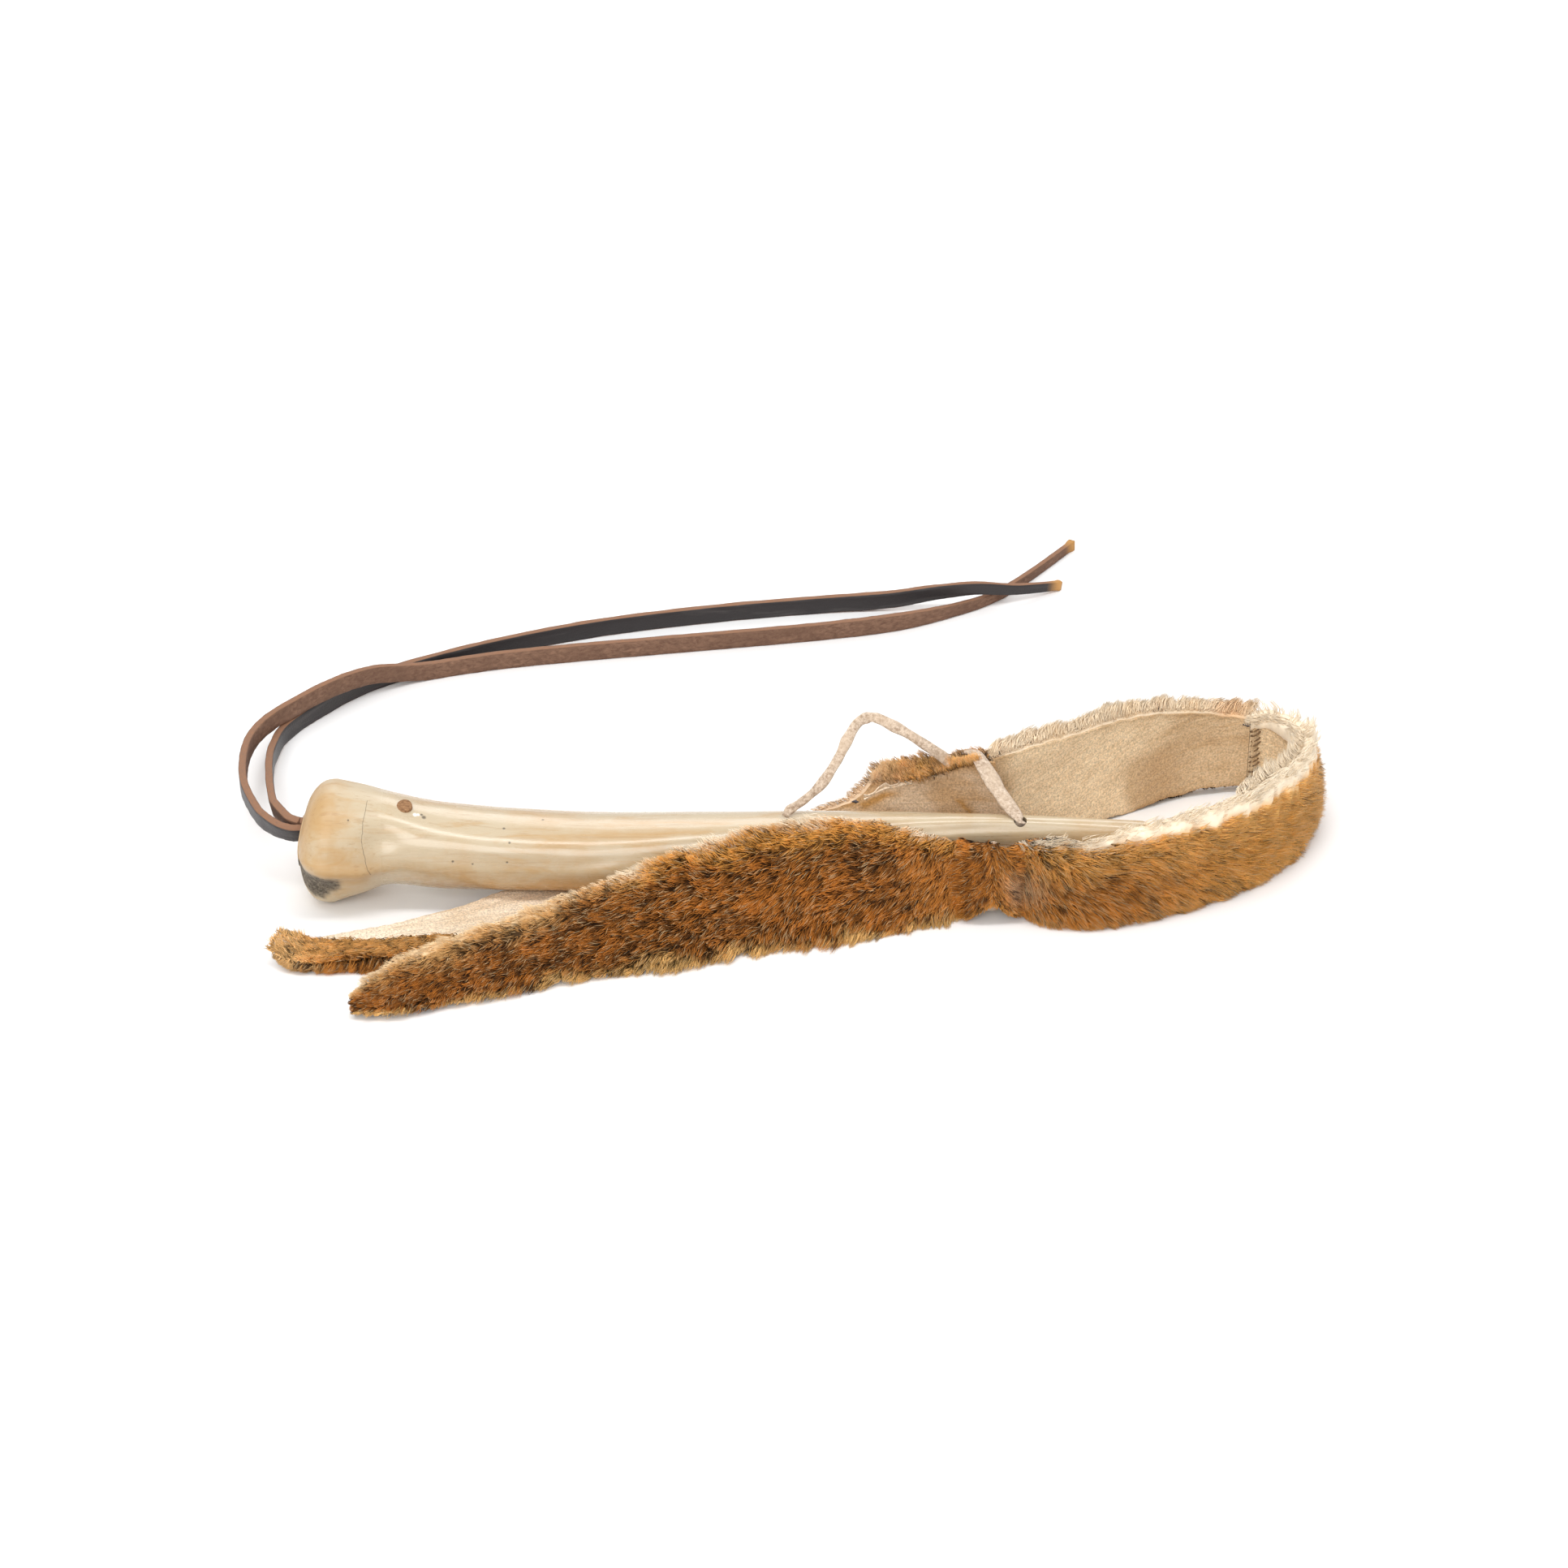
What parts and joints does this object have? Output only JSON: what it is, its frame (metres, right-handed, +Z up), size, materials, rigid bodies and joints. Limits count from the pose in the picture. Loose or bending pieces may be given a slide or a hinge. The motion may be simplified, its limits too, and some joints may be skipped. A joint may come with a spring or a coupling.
{
  "type": "riding quirt",
  "caption": "Riding whip with a polished bone handle, a doubled leather lash pegged into its flared butt, and a fur wrist strap tied to its thin end by a buckskin thong.",
  "frame": {"origin": "on the table, under the middle of the box of handle and strap, without the lashes and the thong", "axes": "+X along the handle from the lash end to the wrist loop, +Y to the back where the lashes lie, +Z up"},
  "size_m": [0.46, 0.4071, 0.0664],
  "materials": {
    "bone": "satin",
    "peg_wood": "matte",
    "lash_leather": "matte",
    "hide": "matte",
    "fur": "matte",
    "sinew": "matte",
    "buckskin": "matte"
  },
  "bodies": {
    "handle": {"bone_handle": "bone", "lash_peg": "peg_wood", "lash_root": "lash_leather", "strap_neck": "hide", "tail_back_hide": "hide", "tail_back_fur": "fur", "thong_tie": "buckskin"},
    "lashes": {"lash_outer": "lash_leather", "lash_inner": "lash_leather"},
    "wrist_loop": {"loop_front_hide": "hide", "loop_front_fur": "fur", "loop_back_hide": "hide", "loop_back_fur": "fur", "seam_stitches": "sinew"},
    "front_tail": {"tail_front_hide": "hide", "tail_front_fur": "fur"},
    "back_tail": {"tail_end_hide": "hide", "tail_end_fur": "fur"},
    "thong_tail": {"thong_end": "buckskin"}
  },
  "joints": [
    {"name": "lash_swing", "type": "hinge", "parent": "handle", "child": "lashes", "pos_m": [-0.213, 0.002, 0.028], "axis": [0, 0, 1], "range_deg": [-5, 70]},
    {"name": "loop_lift", "type": "hinge", "parent": "handle", "child": "wrist_loop", "pos_m": [0.076, 0, 0.029], "axis": [0, -1, 0], "range_deg": [0, 45]},
    {"name": "front_tail_swing", "type": "hinge", "parent": "handle", "child": "front_tail", "pos_m": [0.0685, -0.0155, 0.015], "axis": [0, 0, 1], "range_deg": [0, 40]},
    {"name": "back_tail_lift", "type": "hinge", "parent": "handle", "child": "back_tail", "pos_m": [-0.17315, -0.05925, 0.0039], "axis": [-0.1621, 0.9713, 0.1741], "range_deg": [0, 60]},
    {"name": "thong_end_lift", "type": "hinge", "parent": "handle", "child": "thong_tail", "pos_m": [0.0605, 0.0258, 0.0425], "axis": [0, 1, 0], "range_deg": [0, 50]}
  ]
}
